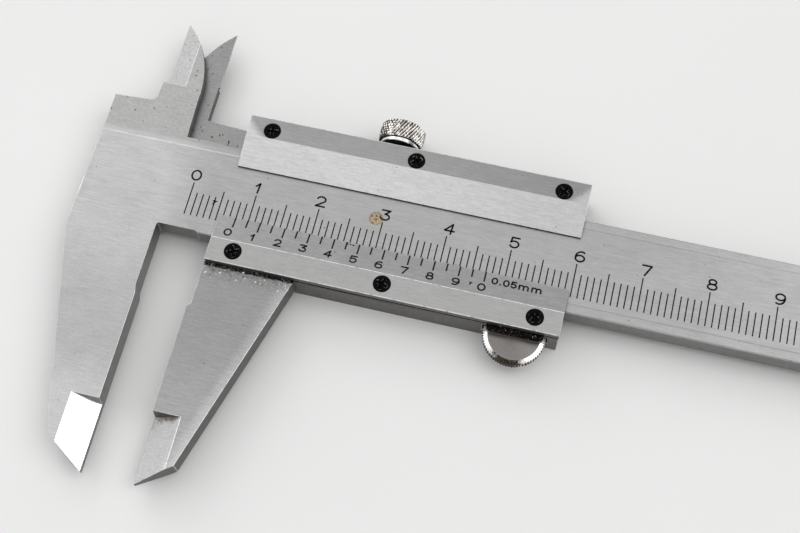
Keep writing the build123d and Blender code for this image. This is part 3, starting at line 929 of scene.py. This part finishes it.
def beam_scale(fill):
    """Millimetre lines and centimetre numbers on the beam."""
    lines, numbers = Shape(), Shape()
    for i in range(scale_lines + 1):
        length = long_line if i % 10 == 0 else middle_line if i % 5 == 0 else short_line
        line_mark(lines, scale_zero + i, scale_foot, scale_foot + length, line_width, on_beam)
        if i % 10 == 0:
            number = i // 10
            shift = beam_digit_shifts[number % 10]
            word_mark(numbers, str(number), scale_zero + i + shift, beam_digit_foot, beam_digit_width,
                      beam_digit_height, beam_stroke, on_beam)
    show_shape("beam_scale_lines", lines, fill, "beam")
    show_shape("beam_scale_numbers", numbers, fill, "beam")


def vernier_scale(fill):
    """Twenty divisions, their numbers and the reading value on the bevel of the vernier plate."""
    lines, numbers, value = Shape(), Shape(), Shape()
    for i in range(vernier_divisions + 1):
        x = vernier_zero + i * vernier_pitch
        foot = vernier_short_foot if i % 2 else vernier_long_foot
        line_mark(lines, x, foot, bevel_toe_y - vernier_line_gap, vernier_line_width, on_vernier)
        if i % 2 == 0:
            x = vernier_zero + vernier_digit_shift + i * vernier_digit_pitch
            word_mark(numbers, str(i // 2 % 10), x, vernier_digit_foot, vernier_digit_width,
                      vernier_digit_height, vernier_stroke, on_vernier)
    middle = legend_left + sum(advances(legend, legend_width)) / 2
    word_mark(value, legend, middle, legend_foot, legend_width, legend_height, legend_stroke, on_vernier)
    show_shape("vernier_lines", lines, fill, "slider")
    show_shape("vernier_numbers", numbers, fill, "slider")
    show_shape("vernier_reading_value", value, fill, "slider")


def blot(shape, x, y, across, along, phase, place):
    """Small stain with a ragged outline."""
    outline = []
    for i in range(blot_points):
        angle = 2 * pi * i / blot_points
        swell = 1 + 0.28 * sin(3 * angle + phase) + 0.18 * sin(5 * angle + 2.3 * phase)
        outline.append((x + across * swell * cos(angle), y + along * swell * sin(angle)))
    rim = list(range(blot_points))
    mark(shape, outline, [tuple(rim)], [rim], place)


def stains(fill):
    """Old ink and dirt on the scale, on the vernier and on the inside jaw's arm."""
    for name, blots, place, body in (
        ("beam_scale_stains", scale_blots, on_beam, "beam"),
        ("vernier_stains", bevel_blots, on_vernier, "slider"),
        ("inside_jaw_stains", arm_blots, on_arm, "slider"),
    ):
        shape = Shape()
        for values in blots:
            blot(shape, *values, place)
        show_shape(name, shape, fill, body)


# ---- fasteners, knob and wheel
def cross_radius(reach, half, turn):
    """Outline of a driver cross as a radius at each angle."""

    def radius(angle, height):
        a = (angle - turn + pi / 4) % (pi / 2) - pi / 4
        return min(reach / cos(a), half / max(abs(sin(a)), 1e-6))

    return radius


def screw_rings(turn):
    """Shank, countersink, rounded rim and tapered cross recess of one plate screw."""
    return [
        (-screw_length, screw_shank * 0.9),
        (-screw_length + 0.15, screw_shank),
        (-screw_head_depth, screw_shank),
        (-0.08, screw_head - 0.07),
        (-0.035, screw_head - 0.015),
        (-0.008, screw_head - 0.06),
        (0.0, screw_head - 0.16),
        (0.0, cross_radius(cross_reach + cross_lip, cross_half + cross_lip, turn)),
        (-cross_lip, cross_radius(cross_reach, cross_half, turn)),
        (-0.36, cross_radius(cross_reach * 0.62, cross_half * 0.68, turn)),
        (-0.50, cross_radius(cross_reach * 0.24, cross_half * 0.60, turn)),
    ]


def plate_screws(node, material):
    """The three screws of a plate, each turned its own way, with worn lips round their crosses."""
    low, high = cad_box(node)
    middle = (low.x + high.x) / 2
    pitch = (high.x - low.x) / 2 - screw_head
    y = (low.y + high.y) / 2
    shape = Shape()
    for x, degrees in zip((middle - pitch, middle, middle + pitch), screw_turns[node]):
        rings = screw_rings(radians(degrees))
        turned(shape, rings, screw_steps, lambda across, up, height: (x + across, y + up, high.z + height))
    piece = show_shape(f"{node}_finished", shape, material, "slider", (node,))
    layer = piece.data.attributes.new("worn", "FLOAT", "FACE")
    lips = []
    for face in piece.data.polygons:
        face_x, face_y, face_z = face.center / MM
        aside = min(abs(face_x - middle - step) for step in (-pitch, 0.0, pitch))
        in_lip = 0.002 < high.z - face_z < cross_lip * 0.8
        lips.append(float(in_lip and hypot(aside, face_y - y) < cross_reach + cross_lip + 0.08))
    layer.data.foreach_set("value", lips)


def knurl_radius(angle, height):
    """Knurl: deep helical grooves one way, crossed by fainter ones the other way."""
    around = knurl_count * angle / (2 * pi)
    along = (height - grip_foot) / knurl_rise
    one = abs((around + along) % 1 - 0.5) * 2
    two = abs((around - along) % 1 - 0.5) * 2
    cut = max(1 - one, knurl_faint * (1 - two))
    return grip_radius - knurl_depth * max(0.0, cut - knurl_flat)


def rim_radius(angle, height):
    """Knurl cut off by the chamfers at both ends of the grip."""
    nearest = min(height - grip_foot, grip_top - height) - 0.02
    return min(knurl_radius(angle, height), grip_radius - grip_chamfer + nearest)


def thread_radius(angle, height):
    """Vee thread on the stem of the lock screw."""
    turn = ((height - stem_foot) / thread_pitch - angle / (2 * pi)) % 1
    return stem_radius - thread_depth * abs(turn * 2 - 1)


def spread(low, high, count, radius):
    """Rings of one radius rule at even heights."""
    return [(low + (high - low) * i / count, radius) for i in range(count + 1)]


def knob_groove(x, y, z):
    """Share of the groove depth at a point of the grip."""
    if y < grip_foot or y > grip_top - 0.01:
        return 0.0
    return (grip_radius - hypot(x - lock_x, z - lock_z)) / knurl_depth


def lock_knob(grip_material, collar_material, stem_material):
    """Lock screw: threaded stem, plain collar, knurled grip with chamfered rims."""
    stem_rows = int((collar_foot - stem_foot) / thread_pitch * thread_steps)
    rings = [
        (stem_foot, stem_radius - thread_depth),
        *spread(stem_foot + 0.05, collar_foot - 0.05, stem_rows, thread_radius),
        (collar_foot, collar_radius - 0.10),
        (collar_foot + 0.10, collar_radius),
        (grip_foot, collar_radius),
        (grip_foot, grip_radius - grip_chamfer - 0.1),
        *spread(grip_foot + 0.02, grip_top - 0.02, grip_rows, rim_radius),
        (grip_top, grip_radius - grip_chamfer - 0.12),
        (grip_top, grip_radius * 0.62),
        (grip_top - 0.06, grip_radius * 0.58),
        (grip_top - 0.10, grip_radius * 0.20),
    ]
    shape = Shape()
    turned(shape, rings, knurl_count * knurl_steps,
           lambda across, up, height: (lock_x + across, height, lock_z + up))
    piece = show_shape("lock_screw_finished", shape, grip_material, "lock_screw",
                       ("lock_screw",))
    groove_depth(piece.data, knob_groove)
    piece.data.materials.append(collar_material)
    piece.data.materials.append(stem_material)
    for face in piece.data.polygons:
        height = face.center.y / MM
        # Faces that look down, and the stem, take the painted shade black.
        if face.normal.y < -0.85 or height < collar_foot:
            face.material_index = 2
        elif height < grip_foot:
            face.material_index = 1


def tooth_radius(angle, height):
    """Radius round the knurled rim of the wheel."""
    wave = 0.5 - 0.5 * cos(wheel_teeth * angle)
    return wheel_radius - tooth_depth * wave ** tooth_roundness


def shoulder_radius(share):
    """Knurl cut off at a share of the way in from the rim to the face."""
    return lambda angle, height: min(tooth_radius(angle, height), wheel_radius - wheel_slope * share)


def wheel_groove(x, y, z):
    """Share of the tooth depth at a point of the rim, raised by 0.35 over the knurled rim as painted shade.
    """
    if min(z - wheel_low.z, wheel_high.z - z) <= wheel_fall * 0.8:
        return 0.0
    return 0.35 + 0.65 * (wheel_radius - hypot(x - wheel_x, y - wheel_y)) / tooth_depth


def thumb_wheel(face_material, rim_material, shoulder_material):
    """Thumb wheel: turned faces, sloping shoulders, and a knurled rim that rolls on the beam."""
    back, front = wheel_low.z, wheel_high.z
    inner = wheel_radius - wheel_slope
    rings = [
        (front, wheel_bore + 0.06),
        (front - 0.06, wheel_bore),
        (back + 0.06, wheel_bore),
        (back, wheel_bore + 0.06),
        (back, inner - 0.06),
        *((back + fall, shoulder_radius(share)) for share, fall in shoulder_slopes),
        (back + wheel_fall, tooth_radius),
        (front - wheel_fall, tooth_radius),
        *((front - fall, shoulder_radius(share)) for share, fall in reversed(shoulder_slopes)),
        (front, inner - 0.06),
    ]
    shape = Shape()
    turned(shape, rings, wheel_teeth * tooth_steps,
           lambda across, up, height: (wheel_x + across, wheel_y + up, height), hollow=True)
    piece = show_shape("thumb_wheel_finished", shape, face_material, "thumb_wheel",
                       ("thumb_wheel",))
    groove_depth(piece.data, wheel_groove)
    piece.data.materials.append(rim_material)
    piece.data.materials.append(shoulder_material)
    for face in piece.data.polygons:
        x, y, _ = face.center / MM
        if hypot(x - wheel_x, y - wheel_y) > inner:
            face.material_index = 1 if abs(face.normal.z) < 0.3 else 2


# ---- the object
beam_steel = steel(
    "beam_steel", 0.51, 0.34, shine=0.6, pit_zone=(34.2, 9.0),
    painted_shades=[("X", -2.0, 6.0, 60.0, 120.0, 0.80), ("Y", -10.0, 0.0, 6.0, 18.0, 0.88),
            ("Y", -10.0, 0.0, 98.0, 99.0, 0.90)],
    facets=[(fixed_jaw_bevel, 1.0, 0.16), (blade_bevel, 0.73, 0.30), (bed_side, 0.95, 0.34)],
    rust=[((32.2, 28.4, scale_bed), 1.12)], rail=(17.6, 40.0, 62.0),
)
slider_steel = steel(
    "slider_steel", 0.37, 0.38, grain=1.2, shine=0.85, pit_zone=(34.2, 9.0),
    painted_shades=[("Y", -18.0, 8.0, 16.0, 28.0, 0.78), ("Y", 20.0, 28.0, 98.0, 99.0, 0.89)],
    lighter_strip=((13.5, -15.5), (23.0, 16.7)),
    facets=[(moving_jaw_bevel, 0.54, 0.30)],
    # Painted shade under the plates and round the wheel's lug, with some black crust.
    shade_and_crust_zones=[(wheel_x - 4.9, wheel_x + 4.9, 14.0, 15.9, 1.5), (8.0, 23.6, 15.0, 16.0, 1.6),
           (23.0, 63.0, 15.2, 16.0, 1.4)],
    stains=[((opening + 2.6, knife_top, front_z), 1.3), ((opening + 1.0, knife_top, front_z - 1.4), 1.2)],
    burrs=[(12.2, 15.2, 24.0)],
)
vernier_steel = steel(
    "vernier_steel", 0.36, 0.38, warmth=0.006, shine=0.85, facets=[(vernier_bevel, 0.33, 0.40)],
)
cover_steel = steel(
    "cover_steel", 0.30, 0.38, shine=0.85,
    painted_shades=[("X", 30.0, 64.0, 98.0, 99.0, 0.86)], facets=[(cover_bevel, 0.54, 0.36)],
)
inner_steel = steel("inner_steel", 0.40, 0.42, grain=0.6)
# Painted shade round the wheel's pin, with some black crust.
pin_steel = steel("pin_steel", 0.30, 0.45, shade_and_crust_zones=[(wheel_x - 2, wheel_x + 2, 14.0, 16.5, 1.5)])
depth_steel = steel("depth_steel", 0.56, 0.34)
oxide = black_oxide()
black_fill = scale_fill("scale_fill_black", (0.006, 0.006, 0.0065), (0.09, 0.09, 0.09))
brown_fill = scale_fill("scale_fill_brown", (0.013, 0.009, 0.007), (0.11, 0.09, 0.07))

for node, material, slot, *rounding in (
    ("main_beam", beam_steel, "beam_steel", beam_round),
    ("end_stop_plate", slider_steel, "slider_steel", edge_round),
    ("slider_frame", slider_steel, "slider_steel", slider_round),
    ("vernier_plate", vernier_steel, "vernier_steel", edge_round, crease_angle),
    ("upper_plate", cover_steel, "cover_steel", edge_round),
    ("depth_bar", depth_steel, "depth_steel", edge_round),
    ("gib_strip", inner_steel, "inner_steel", edge_round),
    ("gib_screw_front", inner_steel, "inner_steel"),
    ("gib_screw_rear", inner_steel, "inner_steel"),
    ("thumb_wheel_pin", pin_steel, "inner_steel"),
    ("thumb_wheel_washer", inner_steel, "inner_steel"),
    ("depth_bar_rivet_front", inner_steel, "inner_steel"),
    ("depth_bar_rivet_rear", inner_steel, "inner_steel"),
    ("end_stop_screw_lower", oxide, "screw_black"),
    ("end_stop_screw_upper", oxide, "screw_black"),
    ("lock_pad", brass(), "pad_brass"),
):
    refined(node, material, slot, *rounding)

beam_scale(black_fill)
vernier_scale(brown_fill)
plate_screws("vernier_plate_screws", oxide)
plate_screws("upper_plate_screws", oxide)
stains(brown_fill)
lock_knob(
    knurled("knurled_chrome", 1.0, 0.15, 0.03, lock_x - 0.8, lock_x - 3.0),
    plain_chrome(),
    oily_black(),
)
thumb_wheel(
    turned_steel(),
    knurled("wheel_rim", 0.7, 0.34, 0.02, wheel_x + 2.4, wheel_x - 0.4),
    wheel_shoulder(),
)


# ---- floor, light and camera
def floor():
    """Level pale floor that touches the lowest point of the part."""
    bm = bmesh.new()
    bmesh.ops.create_grid(bm, x_segments=floor_cells, y_segments=floor_cells, size=floor_reach * MM)
    mesh = mesh_from(bm, "floor")
    finish_mesh(mesh, studio_floor())
    plane = bpy.data.objects.new("floor", mesh)
    lowest = min(cad_box(node)[0].z for node in frame["nodes"])
    plane.location = Vector((*floor_middle, lowest)) * MM
    scene.collection.objects.link(plane)


def studio_dome():
    """Soft room light: dim at the front, brighter at the back, with a few soft lobes."""
    world = bpy.data.worlds.new("studio")
    scene.world = world
    world.use_nodes = True
    g = Graph(world.node_tree, "ShaderNodeOutputWorld")
    direction = g.add("ShaderNodeTexCoord").outputs["Generated"]
    toward_back = g.axes(direction)["Y"]
    level = g.blend(g.smooth(toward_back, -0.7, 0.6), dome_front, dome_back)
    for toward, start, full, strength in dome_lobes:
        near = g.vector("DOT_PRODUCT", direction, tuple(Vector(toward).normalized()))
        level = g.plus(level, g.smooth(near, start, full), strength)
    back = g.add("ShaderNodeBackground", {"Color": (1.0, 1.0, 1.0, 1.0), "Strength": level})
    g.tree.links.new(back.outputs[0], g.output.inputs["Surface"])


def softbox(name, position, target, size, power):
    """Square area light aimed at a point; positions in millimetres."""
    light = bpy.data.lights.new(name, "AREA")
    light.shape = "SQUARE"
    light.size = size * MM
    light.energy = power
    lamp = bpy.data.objects.new(name, light)
    lamp.location = Vector(position) * MM
    aim = (Vector(target) - Vector(position)).normalized()
    lamp.rotation_mode = "QUATERNION"
    lamp.rotation_quaternion = aim.to_track_quat("-Z", "Y")
    scene.collection.objects.link(lamp)


def camera(position, target, roll, lens):
    """Camera at a position in millimetres, looking at a target, turned about its own axis."""
    data = bpy.data.cameras.new("camera")
    data.lens = lens
    data.sensor_width = 36.0
    data.clip_start = 0.005
    data.clip_end = 10.0
    view = bpy.data.objects.new("camera", data)
    forward = (Vector(target) - Vector(position)).normalized()
    level_right = forward.cross(Vector((0, 0, 1))).normalized()
    level_up = level_right.cross(forward)
    angle = radians(roll)
    right = level_right * cos(angle) + level_up * sin(angle)
    up = right.cross(forward)
    turn = Matrix((right, up, -forward)).transposed().to_4x4()
    view.matrix_world = Matrix.Translation(Vector(position) * MM) @ turn
    scene.collection.objects.link(view)
    scene.camera = view


floor()
studio_dome()
softbox("key", key_place, key_target, key_size, key_power)
camera(camera_place, camera_target, camera_roll, camera_lens)
scene.view_settings.view_transform = "Standard"
